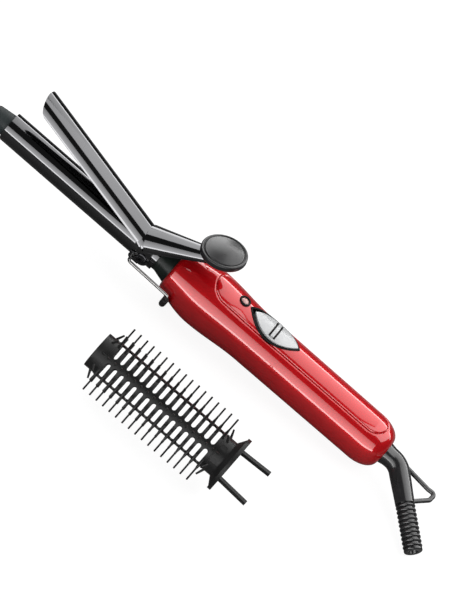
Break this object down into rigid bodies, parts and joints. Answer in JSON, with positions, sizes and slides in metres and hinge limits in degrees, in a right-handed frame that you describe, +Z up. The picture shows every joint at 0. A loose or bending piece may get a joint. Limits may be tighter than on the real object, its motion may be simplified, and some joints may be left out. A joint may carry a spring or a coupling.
{
  "type": "curling iron",
  "caption": "Curling iron with a sprung clamp, a slide switch, a folding wire stand and a slip-on round brush.",
  "frame": {"origin": "centre of the flat on the underside of the stand's foot, on the surface that the iron lies on", "axes": "+X from the barrel's tip to the cord guard, along the iron's plan; +Z up, with the switch and the thumb rest on top"},
  "size_m": [0.3607, 0.1432, 0.0658],
  "materials": {
    "black_chrome": "mirror, dark",
    "grey_plastic": "matte",
    "aluminium": "as extruded",
    "ceramic": "matte",
    "black_plastic": "satin",
    "dark_steel": "blackened",
    "spring_steel": "drawn",
    "satin_black": "satin",
    "red_gloss": "gloss, slightly metallic",
    "silver_plastic": "silver",
    "clear_lens": "clear, pinkish",
    "board": "matte",
    "wire_chrome": "mirror",
    "black_rubber": "matte",
    "guard_rubber": "gloss",
    "white_nylon": "matte",
    "brush_plastic": "satin"
  },
  "bodies": {
    "iron": {"barrel_tube": "black_chrome", "tip_cap": "grey_plastic", "heater_core": "aluminium", "heater_plate_ceramic": "ceramic", "neck_collar": "black_plastic", "hinge_bracket": "black_chrome", "pivot_screws": "dark_steel", "clamp_spring": "spring_steel", "handle_body": "red_gloss", "handle_cover": "red_gloss", "cover_screws": "dark_steel", "switch_well": "black_plastic", "lamp_ring": "black_plastic", "lamp_lens": "clear_lens", "wiring_board": "board", "cord_guard": "guard_rubber", "guard_retainer": "white_nylon", "brush_ring": "brush_plastic", "brush_barrel": "brush_plastic", "brush_bristles": "brush_plastic", "brush_hub": "brush_plastic"},
    "clamp": {"clamp": "black_chrome", "thumb_rest": "satin_black", "thumb_rivet": "spring_steel"},
    "stand": {"stand_wire": "wire_chrome", "stand_foot": "black_rubber"},
    "switch": {"switch_slider": "silver_plastic"}
  },
  "joints": [
    {"name": "clamp_hinge", "type": "hinge", "parent": "iron", "child": "clamp", "pos_m": [-0.02616, 0, 0.02104], "axis": [0, 1, 0], "range_deg": [-16.3, 12], "stiffness_Nm_per_rad": 0.25, "deforming": ["clamp_spring"]},
    {"name": "stand_hinge", "type": "hinge", "parent": "iron", "child": "stand", "pos_m": [-0.03148, 0, 0.0172], "axis": [0, 1, 0], "range_deg": [0, 100]},
    {"name": "switch_slide", "type": "slide", "parent": "iron", "child": "switch", "axis": [-0.9995, 0, 0.0309], "range_m": [0, 0.0024]}
  ]
}
